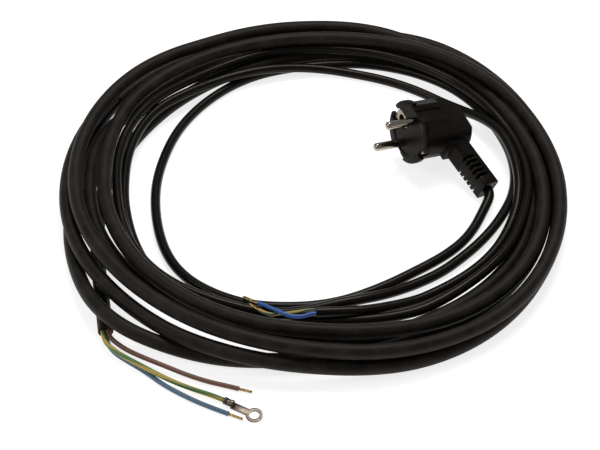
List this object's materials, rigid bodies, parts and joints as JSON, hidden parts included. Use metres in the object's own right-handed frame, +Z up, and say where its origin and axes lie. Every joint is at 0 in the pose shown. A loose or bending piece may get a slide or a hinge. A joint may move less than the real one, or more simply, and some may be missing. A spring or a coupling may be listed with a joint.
{
  "type": "extension cord",
  "caption": "Loose coil of a thick rubber-sheathed cable with a stripped end and ring terminal, wound with a thin cord that ends in an angled moulded earthed plug.",
  "frame": {"origin": "on the floor under the middle of the part's box", "axes": "+Z up; +X to the right and -Y towards the viewer of the reference view, where the stripped rubber end lies; the plug lies inside the coil towards +X and +Y"},
  "size_m": [0.2999, 0.3138, 0.0433],
  "materials": {
    "rubber_sheath": "matte, faintly dusty",
    "pvc_sheath": "glossy",
    "core_brown": "satin",
    "core_blue": "satin",
    "core_earth": "satin, green stripes lengthwise on yellow",
    "copper": "bare bright copper strands",
    "tinned_copper": "dull tinned",
    "plug_mould": "satin",
    "plug_insert": "matte",
    "pin_metal": "satin nickel",
    "earth_metal": "satin",
    "crimp_metal": "plain"
  },
  "bodies": {
    "root": {"covered_core_blue": "core_blue", "covered_core_brown": "core_brown", "covered_core_earth": "core_earth", "plug_core_blue": "core_blue", "plug_core_brown": "core_brown", "plug_core_earth": "core_earth", "plug_crimp_earth": "crimp_metal", "plug_crimp_line": "crimp_metal", "plug_crimp_neutral": "crimp_metal", "plug_earth_sleeve": "earth_metal", "plug_earth_strip": "earth_metal", "plug_held_cord": "pvc_sheath", "plug_insert": "plug_insert", "plug_overmould": "plug_mould", "plug_pin_line": "pin_metal", "plug_pin_neutral": "pin_metal", "pvc_cord_coil": "pvc_sheath", "pvc_cord_lead": "pvc_sheath", "pvc_cord_tail": "pvc_sheath", "ring_terminal": "tinned_copper", "rubber_cable_coil": "rubber_sheath", "rubber_cable_end": "rubber_sheath", "rubber_copper_blue": "copper", "rubber_copper_brown": "copper", "rubber_copper_earth": "copper", "rubber_core_blue": "core_blue", "rubber_core_brown": "core_brown", "rubber_core_earth": "core_earth", "tail_copper_blue": "copper", "tail_copper_brown": "copper", "tail_copper_earth": "copper", "tail_core_blue": "core_blue", "tail_core_brown": "core_brown", "tail_core_earth": "core_earth"}
  },
  "joints": []
}
